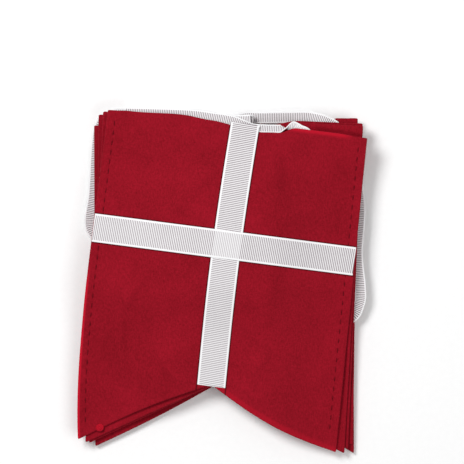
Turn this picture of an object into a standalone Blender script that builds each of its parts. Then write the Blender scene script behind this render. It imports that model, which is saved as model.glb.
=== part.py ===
"""A cloth flag bunting, folded flat: six swallow-tailed flags in a pile, face up, on one long tape.

Metres, +Z up, and the tables are in millimetres. The pile lies on the plane z = 0, with the middle of its
outline at the origin. +Y points from the tails to the flags' top edges.
"""

from collections import namedtuple
from math import ceil, cos, hypot, pi, radians, sin

import bmesh
import bpy
from mathutils import Vector

MM = 0.001
OBJECT_NAME = "fabric_bunting"

# Sheets, in millimetres. A ply is one sheet with the air above it, a loose one where the tape's loops lie.
SHEET = 1.0
PLY = 1.4
LOOSE_PLY = 1.8

# A flag, measured from the middle of its top edge.
FLAG_LEFT = 82.0
FLAG_RIGHT = 73.0
RIBBON = 16.5
RIBBON_END_GAP = 1.2
RIBBON_PAST_EDGE = 1.8
RIBBON_PAST_NOTCH = 1.3
RIBBON_BOW = 1.6
LEVEL_RIBBON_DROP = 71.2
LEVEL_RIBBON_EXTRA_COLUMNS = 4
CLIMB_FROM = 0.6

# The tape that joins the flags.
TAPE = 7.0
TAPE_CLEARANCE = 0.9
TAPE_STEP = 7.0
FOLD_STEPS = 6

# Each flag, from the lowest up: the place of the middle of its top edge, its turn in degrees, the length
# down to its notch and to its tails, how far each side swings to the right, the sag of each tail's lower
# edge, the level ribbon's right end, the loops of tape below it, and the grid of its cloth.
Flag = namedtuple(
    "Flag",
    "x y turn notch left_tail right_tail left_swing right_swing left_sag right_sag"
    " ribbon_end loops columns rows",
)
FLAGS = (
    Flag(6.0, 96.2, -0.2, 151, 194.0, 194, 0, 0, 1.2, 1.0, 70.0, 0, 14, 16),
    Flag(4.8, 93.4, 0.2, 150, 192.2, 197, 0, 0, 1.4, 1.0, 70.0, 1, 14, 16),
    Flag(7.6, 98.4, -0.8, 154, 194.0, 196, 0, 0, 0.6, 1.5, 70.0, 1, 14, 16),
    Flag(10.4, 97.3, -2.5, 155, 198.0, 195, 0, 0, 0, 2.0, 70.0, 2, 18, 16),
    Flag(10.6, 96.6, -3.2, 155, 198.0, 196, 0, 0, 0, 3.0, 70.0, 2, 18, 18),
    Flag(13.1, 92.1, -7.4, 155, 198.0, 186, 7, 6, -2.4, 4.5, 75.2, 3, 26, 20),
)
LEFT_SWING_POWER = 5

# Lines that aren't straight are tables of values, eased from one to the next.
Knot = namedtuple("Knot", "at value")

# The rise of the top flag's upper edge, at distances along it. It fades down the cloth.
TOP_EDGE = (
    Knot(-82, -0.7),
    Knot(-69, 0.4),
    Knot(-37, 2.3),
    Knot(-21, 1.2),
    Knot(8, -2.2),
    Knot(20, -1.2),
    Knot(31, 3.0),
    Knot(56, 3.1),
    Knot(73, 2.4),
)
TOP_EDGE_DEPTH = 0.35

# The middle of the stacked runs of tape: y at distances across the pile.
TAPE_LINE = (
    Knot(-60, 100.6),
    Knot(-20, 99.7),
    Knot(-10, 99.0),
    Knot(-1, 96.9),
    Knot(8, 96.1),
    Knot(17, 96.3),
    Knot(24, 97.6),
    Knot(54, 97.6),
)

# Past these the cloth isn't held down below the runs of tape, and the flags' corners stand out.
LEFT_CORNER = -62.5
LOWER_RIGHT_CORNER = 61.0
CORNER_WIDTH = 7.0
UPPER_RIGHT_CORNER = 28.0
UPPER_CORNER_WIDTH = 18.0

# Where the pile is thickened, in millimetres: each zone has a flat top and soft shoulders.
SHOULDER = 42.0
UPRIGHT_ZONE = (-16.0, 24.0)
LEVEL_ZONE = (2.0, 42.0)
TAPE_ZONE_LOW = 92.0
LOOP_ZONE_LOW = -38.0
LEFT_LOOP_ZONE = -55.0
TOP_LOOP_ZONE = 84.0
FAR = 300.0

# The cloth isn't quite even.
RIPPLE = 0.07
RIPPLE_X = 23.0
RIPPLE_Y = 31.0

# The tape's loose stretches. Each row is a place on its middle line, the slab of the pile in which it
# lies there (a half is the upper half of a slab), and the loops below it.
TapePoint = namedtuple("TapePoint", "x y slab loops")
LEFT_LOOP = (
    TapePoint(-56.0, 100.5, 0.5, 0),
    TapePoint(-66.0, 100.2, 0.5, 0),
    TapePoint(-72.2, 96.6, 0.6, 0),
    TapePoint(-75.0, 90.4, 0.85, 0),
    TapePoint(-76.2, 82.0, 1.0, 0.1),
    TapePoint(-76.9, 72.0, 1.0, 0.1),
    TapePoint(-78.0, 52.0, 1.0, 0.1),
    TapePoint(-80.2, 36.6, 1.0, 0.1),
    TapePoint(-78.2, 29.0, 1.0, 0.1),
    TapePoint(-71.0, 23.0, 1.0, 0.1),
    TapePoint(-64.5, 30.0, 1.0, 0.1),
    TapePoint(-64.5, 45.0, 1.0, 0.1),
    TapePoint(-65.5, 78.0, 1.0, 0.1),
    TapePoint(-62.5, 91.0, 1.0, 0.1),
    TapePoint(-54.0, 99.4, 1.0, 0.1),
    TapePoint(-46.0, 100.3, 1.0, 0.3),
    TapePoint(-38.0, 100.1, 1.0, 1),
)
RIGHT_LOOP = (
    TapePoint(4.0, 96.4, 2.0, 1),
    TapePoint(14.5, 98.3, 2.0, 1),
    TapePoint(24.0, 97.7, 2.0, 1),
    TapePoint(40.0, 97.7, 2.0, 1),
    TapePoint(51.0, 97.6, 2.25, 1),
    TapePoint(59.5, 95.9, 3.0, 1.1),
    TapePoint(67.0, 89.5, 3.0, 1.1),
    TapePoint(73.0, 79.0, 3.0, 1.1),
    TapePoint(79.0, 64.0, 3.0, 1.1),
    TapePoint(81.7, 50.0, 3.0, 1.1),
    TapePoint(82.0, 36.6, 3.0, 1.1),
    TapePoint(80.6, 16.0, 3.0, 1.1),
    TapePoint(82.4, -3.0, 3.0, 1.1),
    TapePoint(81.9, -14.0, 3.0, 1.1),
    TapePoint(74.5, -22.8, 3.0, 1.1),
    TapePoint(46.0, -21.0, 3.0, 1.1),
    TapePoint(1.0, -4.0, 3.0, 1.1),
    TapePoint(-43.8, 11.4, 3.0, 1.1),
    TapePoint(-60.0, 21.0, 3.0, 1.1),
    TapePoint(-66.0, 36.0, 3.0, 1.1),
    TapePoint(-66.0, 75.0, 3.0, 1.1),
    TapePoint(-65.0, 88.0, 3.0, 1.1),
    TapePoint(-62.0, 95.5, 3.0, 1.1),
    TapePoint(-56.0, 99.6, 3.0, 1.1),
    TapePoint(-48.0, 100.4, 3.0, 1.3),
    TapePoint(-40.0, 100.2, 3.0, 2),
)
TOP_STRIP = (
    TapePoint(-19.8, 99.4, 5.0, 2.1),
    TapePoint(-7.8, 97.9, 5.0, 2.1),
    TapePoint(5.4, 95.8, 5.0, 2.1),
    TapePoint(21.6, 91.4, 5.0, 2.1),
    TapePoint(30.0, 90.8, 5.0, 2.1),
    TapePoint(36.0, 90.8, 5.0, 2.1),
    TapePoint(41.5, 91.9, 5.0, 2.1),
    TapePoint(46.0, 90.4, 5.0, 2.1),
    TapePoint(49.5, 86.4, 5.0, 2.1),
    TapePoint(51.0, 80.0, 5.0, 2.1),
)

# Where the runs along the tape line start and end.
LEFT_END = -60.0
RIGHT_END = 54.0
RUN_INSET = 3.0
LEFT_LOOP_START = -46.0
LEFT_LOOP_END = -30.0
RIGHT_LOOP_START = -4.0
RIGHT_LOOP_END = -32.0
UPPER_FOLD = 17.4
UPPER_INSET = 1.5
TOP_STRIP_START = -42.0

RED = (0.275, 0.009, 0.017, 1.0)
WHITE = (0.68, 0.65, 0.66, 1.0)


def ease(value):
    """0 below 0, 1 above 1, and a smooth step between."""
    value = min(1.0, max(0.0, value))
    return value * value * (3 - 2 * value)


def between(value, low, high):
    """1 from low to high, falling softly to 0 over a shoulder on each side."""
    outside = max(low - value, value - high, 0.0)
    return 1 - ease(outside / SHOULDER)


def mix(a, b, share):
    return a + (b - a) * share


def slab_height(x, y):
    """The thickness that one flag, its ribbons and its tape take up in the pile."""
    upright = between(x, *UPRIGHT_ZONE)
    tape = between(y, TAPE_ZONE_LOW, FAR)
    level = between(y, *LEVEL_ZONE)
    either = upright + tape - upright * tape
    ripple = RIPPLE * sin(x / RIPPLE_X + 1) * sin(y / RIPPLE_Y)
    return PLY * (1 + either + level + ripple)


def loop_height(x, y, loops):
    """The room for the tape's loops: the left one's, the right one's and the top strip's, from below."""
    left = between(x, -FAR, LEFT_LOOP_ZONE)
    top = between(y, TOP_LOOP_ZONE, FAR)
    upper = between(y, LOOP_ZONE_LOW, FAR)
    rooms = (left + top - left * top, upper, top)
    return LOOSE_PLY * sum(room * min(1, max(0, loops - below)) for below, room in enumerate(rooms))


def pile_height(x, y, slab, loops):
    """The underside of whatever lies in a slab of the pile."""
    return slab * slab_height(x, y) + loop_height(x, y, loops)


def value_at(knots, at):
    """A table's value at a distance, eased from knot to knot."""
    for first, last in zip(knots, knots[1:]):
        if at <= last.at:
            return mix(first.value, last.value, ease((at - first.at) / (last.at - first.at)))
    return knots[-1].value


def flag_place(flag, along, down):
    """A place in the pile from one on the flag, both measured along the flag's own sides."""
    turn = radians(flag.turn)
    x = flag.x + along * cos(turn) + down * sin(turn)
    y = flag.y + along * sin(turn) - down * cos(turn)
    return x, y


def below_tape(flag, x, y):
    """The cloth under the stacked runs stops just short of them, and its corners stand out past them."""
    limit = value_at(TAPE_LINE, x) - TAPE / 2 - TAPE_CLEARANCE
    left = (LEFT_CORNER - x) / CORNER_WIDTH
    if flag.loops < 2:
        right = (x - LOWER_RIGHT_CORNER) / CORNER_WIDTH
    else:
        right = (x - UPPER_RIGHT_CORNER) / UPPER_CORNER_WIDTH
    return mix(min(y, limit), y, ease(max(left, right)))


def cloth_place(flag, across, down_share):
    """A flag's cloth: across runs from -1 to 1 and down_share from 0 at the top edge to 1 at the tails."""
    on_right = across > 0
    side = abs(across)
    along = across * (FLAG_RIGHT if on_right else FLAG_LEFT)
    length = mix(flag.notch, flag.right_tail if on_right else flag.left_tail, side)
    length += (flag.right_sag if on_right else flag.left_sag) * sin(pi * side)
    if on_right:
        along += flag.right_swing * down_share * side
    else:
        along += flag.left_swing * down_share ** LEFT_SWING_POWER * side
    down = down_share * length
    if flag is FLAGS[-1]:
        down -= value_at(TOP_EDGE, along) * (1 - ease(down_share / TOP_EDGE_DEPTH))
        return flag_place(flag, along, down)
    x, y = flag_place(flag, along, down)
    return x, below_tape(flag, x, y)


def place_points(mesh, place):
    """Moves each point of a unit grid to where the given function puts it, in millimetres."""
    for vert in mesh.verts:
        vert.co = Vector(place(vert.co.x, vert.co.y)) * MM


def grid_mesh(name, columns, lines, place):
    """A grid of quads, laid out by the given function of its two coordinates from -1 to 1."""
    sheet = bmesh.new()
    bmesh.ops.create_grid(sheet, x_segments=columns, y_segments=lines, size=1)
    place_points(sheet, place)
    mesh = bpy.data.meshes.new(name)
    sheet.to_mesh(mesh)
    sheet.free()
    return mesh


def add_sheet(name, mesh, material, collection):
    """A sheet of cloth of even thickness about its grid."""
    mesh.materials.append(material)
    mesh.shade_smooth()
    sheet = bpy.data.objects.new(name, mesh)
    solid = sheet.modifiers.new("thickness", "SOLIDIFY")
    solid.thickness = SHEET * MM
    solid.offset = 0
    solid.use_even_offset = True
    collection.objects.link(sheet)
    return sheet


def make_cloth(name, slab, flag, material, collection):
    def place(u, v):
        x, y = cloth_place(flag, u, (1 - v) / 2)
        return x, y, pile_height(x, y, slab, flag.loops) + SHEET / 2

    mesh = grid_mesh(name, flag.columns, flag.rows, place)
    return add_sheet(name, mesh, material, collection)


def make_upright_ribbon(name, slab, flag, material, collection):
    """The ribbon from the top edge to just past the notch, a little bowed, with its ends cut straight."""
    edge = cloth_place(flag, 0, 0)[1]
    top = flag.y - edge + RIBBON_END_GAP
    if flag is FLAGS[-1]:
        top = -RIBBON_PAST_EDGE

    def place(u, v):
        share = (v + 1) / 2
        along = u * RIBBON / 2
        down = mix(flag.notch + RIBBON_PAST_NOTCH, top, share)
        x, y = flag_place(flag, along - RIBBON_BOW * sin(pi * share), down)
        return x, y, pile_height(x, y, slab, flag.loops) + PLY + SHEET / 2

    mesh = grid_mesh(name, 2, flag.rows, place)
    return add_sheet(name, mesh, material, collection)


def make_level_ribbon(name, slab, flag, material, collection):
    """The ribbon from side to side, which climbs over the upright one."""

    def place(u, v):
        along = mix(-FLAG_LEFT, flag.ribbon_end, (u + 1) / 2)
        x, y = flag_place(flag, along, LEVEL_RIBBON_DROP - v * RIBBON / 2)
        climb = 1 - ease(abs(along + RIBBON_BOW) / RIBBON - CLIMB_FROM)
        return x, y, pile_height(x, y, slab, flag.loops) + PLY * (1 + climb) + SHEET / 2

    mesh = grid_mesh(name, flag.columns + LEVEL_RIBBON_EXTRA_COLUMNS, 1, place)
    return add_sheet(name, mesh, material, collection)


def curve_value(a, b, c, d, share):
    """A smooth curve through b and c, with a and d beyond them."""
    return 0.5 * (2 * b + (c - a) * share + (2 * a - 5 * b + 4 * c - d) * share ** 2
                  + (3 * b - a - 3 * c + d) * share ** 3)


def smooth_path(points):
    """A path through the points, with places added between them about a tape step apart."""
    padded = [points[0], *points, points[-1]]
    path = []
    for a, b, c, d in zip(padded, padded[1:], padded[2:], padded[3:]):
        steps = max(1, ceil(hypot(c.x - b.x, c.y - b.y) / TAPE_STEP))
        for step in range(steps):
            share = step / steps
            x = curve_value(a.x, b.x, c.x, d.x, share)
            y = curve_value(a.y, b.y, c.y, d.y, share)
            slab = mix(b.slab, c.slab, ease(share))
            path.append(TapePoint(x, y, slab, mix(b.loops, c.loops, ease(share))))
    return path + [points[-1]]


def tape_run(start, end, slab, loops):
    """A run along the tape line."""
    steps = ceil(abs(end - start) / TAPE_STEP)
    places = [mix(start, end, step / steps) for step in range(steps + 1)]
    return [TapePoint(x, value_at(TAPE_LINE, x), slab, loops) for x in places]


def tape_legs():
    """The tape's stretches between its folds, from the lowest flag's to the top one's."""
    left, right = LEFT_END + RUN_INSET, RIGHT_END - RUN_INSET
    inner_fold = UPPER_FOLD - UPPER_INSET
    left_loop = tape_run(RIGHT_END, LEFT_LOOP_START, 0.5, 0) + list(LEFT_LOOP)
    right_loop = tape_run(left, RIGHT_LOOP_START, 2, 1) + list(RIGHT_LOOP)
    return (
        tape_run(LEFT_END, RIGHT_END, 0, 0),
        left_loop + tape_run(LEFT_LOOP_END, right, 1, 1),
        tape_run(right, left, 1.5, 1),
        right_loop + tape_run(RIGHT_LOOP_END, UPPER_FOLD, 3, 2),
        tape_run(UPPER_FOLD, left, 3.5, 2),
        tape_run(left, inner_fold, 4, 2),
        tape_run(inner_fold, left, 4.5, 2),
        tape_run(left, TOP_STRIP_START, 5, 2.1) + list(TOP_STRIP),
    )


def leg_edges(path, side):
    """The tape's two edges along a leg, each lying on the pile, and the leg's direction at its end."""
    edges = []
    for index, point in enumerate(path):
        before = path[max(0, index - 1)]
        after = path[min(len(path) - 1, index + 1)]
        along = Vector((after.x - before.x, after.y - before.y, 0)).normalized()
        across = Vector((-along.y, along.x, 0)) * side * TAPE / 2
        middle = Vector((point.x, point.y, 0))
        pair = [middle - across, middle + across]
        for place in pair:
            place.z = pile_height(place.x, place.y, point.slab, point.loops) + SHEET / 2
        edges.append(pair)
    return edges, along


def fold_edges(last, first, outward):
    """A half turn in the upright plane from the end of one leg to the start of the next."""
    turn = []
    for step in range(1, FOLD_STEPS):
        angle = pi * step / FOLD_STEPS
        pair = []
        for low, high in zip(last, first):
            middle = (low + high) / 2
            reach = outward * (high - low).length / 2
            pair.append(middle + reach * sin(angle) + (low - middle) * cos(angle))
        turn.append(pair)
    return turn


def tape_edges():
    """The whole tape, from its cut end below to the one under the top flag."""
    edges, outward = [], None
    for number, points in enumerate(tape_legs()):
        side = -1 if number % 2 else 1
        leg, along = leg_edges(smooth_path(points), side)
        if edges:
            edges += fold_edges(edges[-1], leg[0], outward)
        edges += leg
        outward = along
    return edges


def make_tape(name, material, collection):
    edges = tape_edges()
    steps = len(edges) - 1

    def place(u, v):
        return edges[round((u + 1) / 2 * steps)][round((v + 1) / 2)]

    mesh = grid_mesh(name, steps, 1, place)
    return add_sheet(name, mesh, material, collection)


def make_material(name, colour, roughness):
    material = bpy.data.materials.new(name)
    material.use_nodes = True
    shader = material.node_tree.nodes["Principled BSDF"]
    shader.inputs["Base Color"].default_value = colour
    shader.inputs["Roughness"].default_value = roughness
    shader.inputs["Metallic"].default_value = 0.0
    material.diffuse_color = colour
    return material


def new_collection(name):
    for old in list(bpy.data.objects):
        bpy.data.objects.remove(old, do_unlink=True)
    collection = bpy.data.collections.new(name)
    bpy.context.scene.collection.children.link(collection)
    return collection


def main():
    collection = new_collection(OBJECT_NAME)
    cloth = make_material("red_cloth", RED, 0.9)
    ribbon = make_material("white_grosgrain", WHITE, 0.6)
    for slab, flag in enumerate(FLAGS):
        number = slab + 1
        make_cloth(f"flag_{number}_cloth", slab, flag, cloth, collection)
        make_upright_ribbon(f"flag_{number}_upright_ribbon", slab, flag, ribbon, collection)
        make_level_ribbon(f"flag_{number}_level_ribbon", slab, flag, ribbon, collection)
    make_tape("heading_tape", ribbon, collection)


main()
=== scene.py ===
"""The looks of the folded cloth bunting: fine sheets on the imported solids' own folds, in the same frame.

Places and sizes are in millimetres until a mesh is made. A sheet starts as a grid of middle points, and each
point keeps four numbers for its material: a weave of three distances, and a tint. On grosgrain the weave is
how far the point is across and along, and how far from the long edges. On felt it is how far the point is
past the upright ribbon's edge, past the level ribbon's edge, and from the cloth's own edge.
"""

from collections import namedtuple

import bpy
import numpy as np
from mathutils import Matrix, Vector


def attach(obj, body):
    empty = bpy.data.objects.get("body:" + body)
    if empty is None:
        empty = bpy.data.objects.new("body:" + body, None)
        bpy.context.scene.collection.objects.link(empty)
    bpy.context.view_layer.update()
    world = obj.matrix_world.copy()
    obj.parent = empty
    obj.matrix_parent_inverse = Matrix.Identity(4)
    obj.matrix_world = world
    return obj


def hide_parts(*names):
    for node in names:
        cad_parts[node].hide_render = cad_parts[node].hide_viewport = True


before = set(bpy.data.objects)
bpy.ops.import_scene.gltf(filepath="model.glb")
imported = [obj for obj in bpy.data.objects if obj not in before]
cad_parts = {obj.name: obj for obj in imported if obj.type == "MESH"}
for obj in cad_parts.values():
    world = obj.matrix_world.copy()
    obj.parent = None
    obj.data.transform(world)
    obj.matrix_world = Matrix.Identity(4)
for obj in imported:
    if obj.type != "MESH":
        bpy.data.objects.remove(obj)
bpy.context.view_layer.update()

MM = 0.001
PI = np.pi
UP = np.array([0, 0, 1])

# The pile, as in the solids: its height for each flag and for each loose loop of tape, and the height of the
# lowest sheet's middle.
PLY = 1.4
LOOSE_PLY = 1.8
LOWEST_MIDDLE = 0.5

# A flag's reach to each side of its upright line.
FLAG_LEFT, FLAG_RIGHT = 82.0, 73.0

# The ribbons. The upright one starts below the cloth's edge on the lower flags, and past it on the top one.
RIBBON = 16.5
RIBBON_LENGTH = 155
RIBBON_END_GAP = 1.2
RIBBON_PAST_EDGE = 1.8
RIBBON_PAST_NOTCH = 1.3
RIBBON_BOW = 1.6
LEVEL_RIBBON_DROP = 71.2

# The tape: its width, the room between its runs and the cloth below them, and the step of its route there.
TAPE = 7.0
TAPE_CLEARANCE = 0.9
TAPE_STEP = 7.0

# The flags, the lowest one first: the upright line's upper end and its turn in degrees, the depths to the
# notch and the tips, how far each side swings and each tail's edge sags, where the level ribbon ends, the
# loose loops of tape below, the grid's step, and the phase of the waves along the edges.
Flag = namedtuple(
    "Flag",
    "x y turn notch left_tail right_tail left_swing right_swing left_sag right_sag"
    " ribbon_end loops spacing wave",
)
FLAGS = (
    Flag(6.0, 96.2, -0.2, 151, 194.0, 194, 0, 0, 1.2, 1.0, 70.0, 0, 2.4, 0.3),
    Flag(4.8, 93.4, 0.2, 150, 192.2, 197, 0, 0, 1.4, 1.0, 70.0, 1, 2.4, 2.1),
    Flag(7.6, 98.4, -0.8, 154, 194.0, 196, 0, 0, 0.6, 1.5, 70.0, 1, 2.4, 4.4),
    Flag(10.4, 97.3, -2.5, 155, 198.0, 195, 0, 0, 0, 2.0, 70.0, 2, 2.0, 1.2),
    Flag(10.6, 96.6, -3.2, 155, 198.0, 196, 0, 0, 0, 3.0, 70.0, 2, 1.6, 3.3),
    Flag(13.1, 92.1, -7.4, 155, 198.0, 186, 7, 6, -2.4, 4.5, 75.2, 3, 0.9, 5.2),
)
NEXT_FLAG, TOP_FLAG = FLAGS[-2:]

# The flags whose ribbons show near enough for ribs, and those whose sewing shows.
RIBBED_FLAGS = FLAGS[-2:]
STITCHED_FLAGS = FLAGS[-3:]

# The left side swings out by this power of the depth.
LEFT_SWING_POWER = 5

Knot = namedtuple("Knot", "at value")

# The rise of the top flag's upper edge, at distances along it, and the share of its depth that it fades over.
TOP_EDGE = (
    Knot(-82, -0.7),
    Knot(-69, 0.4),
    Knot(-37, 2.3),
    Knot(-21, 1.2),
    Knot(8, -2.2),
    Knot(20, -1.2),
    Knot(31, 3.0),
    Knot(56, 3.1),
    Knot(73, 2.4),
)
TOP_EDGE_DEPTH = 0.35

# The middle of the stacked runs of tape: y at distances across the pile.
TAPE_LINE = (
    Knot(-60, 100.6),
    Knot(-20, 99.7),
    Knot(-10, 99.0),
    Knot(-1, 96.9),
    Knot(8, 96.1),
    Knot(17, 96.3),
    Knot(24, 97.6),
    Knot(54, 97.6),
)

# Past these the cloth isn't held below the runs of tape, and the flags' corners stand out. The upper flags
# lie on two or more loose loops. Held cloth keeps a small share of its reach past the limit.
LEFT_CORNER = -62.5
LOWER_RIGHT_CORNER = 61.0
CORNER_WIDTH = 7.0
UPPER_RIGHT_CORNER = 28.0
UPPER_CORNER_WIDTH = 18.0
UPPER_LOOPS = 2
HELD_SHARE = 0.02

# Where the ribbons, the tape's runs and its loops make the pile thicker, and how far that fades over. Far is
# outside the pile.
UPRIGHT_ZONE = (-16.0, 24.0)
LEVEL_ZONE = (2.0, 42.0)
TAPE_ZONE_LOW = 92.0
LOOP_ZONE_LOW = -38.0
LEFT_LOOP_ZONE = -55.0
TOP_LOOP_ZONE = 84.0
SHOULDER = 42.0
FAR = 300.0

# A slow ripple in each ply, as a share of it.
RIPPLE, RIPPLE_X, RIPPLE_Y = 0.07, 23.0, 31.0

# The waves of the cloth's sides and tails: height, the power of the place that they fade by, length and lag.
Wave = namedtuple("Wave", "height power length lag")
SIDE_WAVE = Wave(0.13, 6, 11, 2)
TAIL_WAVE = Wave(0.1, 8, 7, 1.7)

# The curl of the right edges in their lower part: its height, where it starts across the cloth and the
# share that it takes, and where it fades in down the cloth.
CURL = 0.7
CURL_START, CURL_SHARE = 0.965, 0.035
CURL_TOP, CURL_FADE = -20, 30

# The top flag's slow unevenness: its height, and its two waves, each swayed by another.
UNEVENNESS = 0.22
Sway = namedtuple("Sway", "length sway sway_length lag")
LEVEL_SWAY = Sway(9, 0.7, 17, 0)
UPRIGHT_SWAY = Sway(12, 0.9, 21, 1)

# Soft creases of the top flag: from, to, half width and height (a trough is negative). Each is bowed by a
# share of its length, and runs past its ends by another while it fades.
CREASE_STRENGTH = 3.0
CREASE_BOW = 0.06
CREASE_PAST = 0.15
CREASE_FADE = 0.4
Crease = namedtuple("Crease", "x0 y0 x1 y1 width height")
CREASES = (
    Crease(-0.2, 70.2, -34.5, 34.4, 4.0, 0.45),
    Crease(-43.2, 6.0, -60.3, -17.2, 3.0, 0.4),
    Crease(-61.0, -18.6, -56.7, -64.4, 3.5, 0.4),
    Crease(-41.7, -35.0, -47.4, -67.2, 3.0, 0.35),
    Crease(-41.7, -35.0, -24.0, -62.0, 3.0, 0.35),
    Crease(26.3, -42.2, 7.0, -21.4, 3.0, 0.35),
    Crease(26.3, -42.2, 14.0, -70.0, 3.5, 0.35),
    Crease(31.0, 80.0, 34.0, 46.0, 4.0, 0.35),
    Crease(42.0, 76.0, 39.0, 50.0, 5.0, -0.25),
    Crease(-62.0, 84.0, -30.0, 74.0, 5.0, 0.4),
    Crease(30.0, 12.0, 31.0, -28.0, 6.0, 0.35),
    Crease(60.0, -60.0, 70.0, -20.0, 5.0, 0.35),
)

# The trough in the next flag along the top one's upper edge.
TROUGH_START = 36.0
TROUGH_FADE = 8
TROUGH_PAST = 0.6
TROUGH_WIDTH = 1.2
TROUGH_DEPTH = 1.7

# Real thicknesses: of the cloth, of its doubled hem and of the ribbons.
CLOTH = 0.75
HEM_CLOTH = 1.05
GROSGRAIN = 0.5

# How far the middle of a ribbon is above that of the cloth, and how much further the level one climbs where
# it crosses the upright one. The climb's slope is a share for each ribbon width.
SEWN = 0.72
CROSSED = 0.6
CLIMB_SLOPE, CLIMB_START = 1.6, 0.75

# The lowest cloth's clearance over the floor.
RIM_CLEARANCE = 0.03

# The hems at the sides and at the tails. Their step in thickness starts a little before their inner edge.
HEM = 4.4
TAIL_HEM = 2.3
HEM_LEAD = 0.2
HEM_STEP = 0.5

# A tail's edge slopes, so a place is nearer to it than the distance along the cloth, by this ratio.
TAIL_LENGTH_RATIO = 1.13

# The grid of a flag's cloth: its close rows' distances from the edge, the width and length that they are
# taken as shares of, and the length that sets the number of rows.
HEM_ROWS = np.array([0.0, 0.35, 1.2, 2.4, 3.6, 4.0, 4.3, 4.6, 5.0, 6.2])
GRID_WIDTH = 78
GRID_LENGTH = 172
ROWS_LENGTH = 185

# The relief of the cloth's face: the groove inside its hem, the dips at its stitches and the nap.
GROOVE_DEPTH, GROOVE_WIDTH = 0.12, 0.35
PUCKER_DEPTH, PUCKER_WIDTH = 0.16, 0.4
# The painted shade in the dips at the stitches, as a tint below 0.
PUCKER_SHADE_TINT = 0.3
NAP, NAP_X, NAP_Y = 0.02, 2.3, 1.9

# The top flag's painted highlights on edges that catch the light: the left one below the level ribbon, the
# hem of the right tail, and the stretch of the upper one between two shares of the right side.
LEFT_RIM, LEFT_RIM_FADE_IN = 0.6, 14
TAIL_RIM_TINT = 0.35
UPPER_RIM, UPPER_RIM_TINT = 1.1, 0.75
UPPER_RIM_START, UPPER_RIM_FADE_IN = 0.36, 0.06
UPPER_RIM_END, UPPER_RIM_FADE_OUT = 0.9, 0.1
RIM_FADE = 0.6

# Sewing: the stitches' pitch and length, the share of the pitch before the first one, their line's shares of
# the depth, its inset from the hem's inner edge, and the rings in each stitch.
STITCH_PITCH = 5.8
STITCH = 3.6
FIRST_STITCH = 0.6
STITCH_LINE = (0.02, 0.97)
STITCH_SAMPLES = 260
STITCH_INSET = 0.1
STITCH_RINGS = 7

# The thread: its radius, the share of it at a stitch's ends, the power that it thickens by, and its arch and
# sunk ends in radii.
THREAD_RADIUS = 0.22
THREAD_SIDES = 6
THREAD_END = 0.35
THREAD_TAPER = 0.4
THREAD_ARCH = 1.4
THREAD_SINK = 1.6

# The rolled end of the top flag's hem. Its eye is smooth, and its foot is sunk in the cloth.
ROLL_PLACE = (-74.1, -88.2)
ROLL_RADIUS = 2.4
ROLL_OVAL = 0.06
ROLL_HEIGHT = 1.6
ROLL_ROUNDNESS = 0.98
ROLL_TURNS = 2.5
ROLL_GROOVE = 0.6
ROLL_EYE = 0.12
ROLL_FOOT = 0.2
# The roll's tint: a painted highlight in the felt's edge colour, with less of it in the spiral groove as
# painted shade.
ROLL_HIGHLIGHT, ROLL_GROOVE_SHADE = 0.9, 0.7
ROLL_RINGS, ROLL_SIDES = 19, 48

# The painted shadow line on the cloth along a ribbon's edge: its middle past that edge, its half width and
# its strength.
SEAM_PAST = 0.55
SEAM_WIDTH = 0.7
SEAM_SHADE = 0.95

# The grosgrain's ribs: pitch, skew in radians, height, and the power that rounds them.
RIB = 1.066
RIB_SKEW = 0.035
RIB_HEIGHT = 0.2
RIB_ROUNDNESS = 0.7
RIB_SAMPLES = 5

# How much a full tint smooths the ribs, and the selvedges: their width, their height as a share of the ribs'
# and their rounding. The ribs start under their inner edge.
SMOOTHING = 0.85
SELVEDGE = 0.9
SELVEDGE_HEIGHT = 0.75
SELVEDGE_ROUNDING = 0.3
RIBS_START, RIBS_FADE = 0.63, 0.5

# The ribbons that are mostly hidden have this many times fewer rows.
HIDDEN_RIBBON_SHARE = 4

# How much whiter and smoother the ribbon is at the upright one's foot, at the level one's left end, and
# where the two cross, and that patch's inset from the upright one's edge and its soft border.
LOWER_WHITENESS = 0.35
LEFT_WHITENESS = 0.2
CROSSING_WHITENESS = 0.62
CROSSING_INSET, CROSSING_FADE = 0.4, 0.6

# The points across a ribbon and across the tape, and the angles of the rings round a sheet's rim.
STRIP_ACROSS = np.array(
    [-1, -0.965, -0.93, -0.88, -0.82, -0.6, -0.3, 0, 0.3, 0.6, 0.82, 0.88, 0.93, 0.965, 1],
)
TAPE_ACROSS = np.array([-1, -0.88, -0.74, -0.5, 0, 0.5, 0.74, 0.88, 1])
ROUNDING = (50.0, 0.0, -50.0)

# The tape's loose stretches. Each point has its slab of the pile and the loose loops below it.
Point = namedtuple("Point", "x y slab loops")
LEFT_LOOP = (
    Point(-56.0, 100.5, 0.5, 0),
    Point(-66.0, 100.2, 0.5, 0),
    Point(-72.2, 96.6, 0.6, 0),
    Point(-75.0, 90.4, 0.85, 0),
    Point(-76.2, 82.0, 1.0, 0.1),
    Point(-76.9, 72.0, 1.0, 0.1),
    Point(-78.0, 52.0, 1.0, 0.1),
    Point(-80.2, 36.6, 1.0, 0.1),
    Point(-78.2, 29.0, 1.0, 0.1),
    Point(-71.0, 23.0, 1.0, 0.1),
    Point(-64.5, 30.0, 1.0, 0.1),
    Point(-64.5, 45.0, 1.0, 0.1),
    Point(-65.5, 78.0, 1.0, 0.1),
    Point(-62.5, 91.0, 1.0, 0.1),
    Point(-54.0, 99.4, 1.0, 0.1),
    Point(-46.0, 100.3, 1.0, 0.3),
    Point(-38.0, 100.1, 1.0, 1),
)
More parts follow.
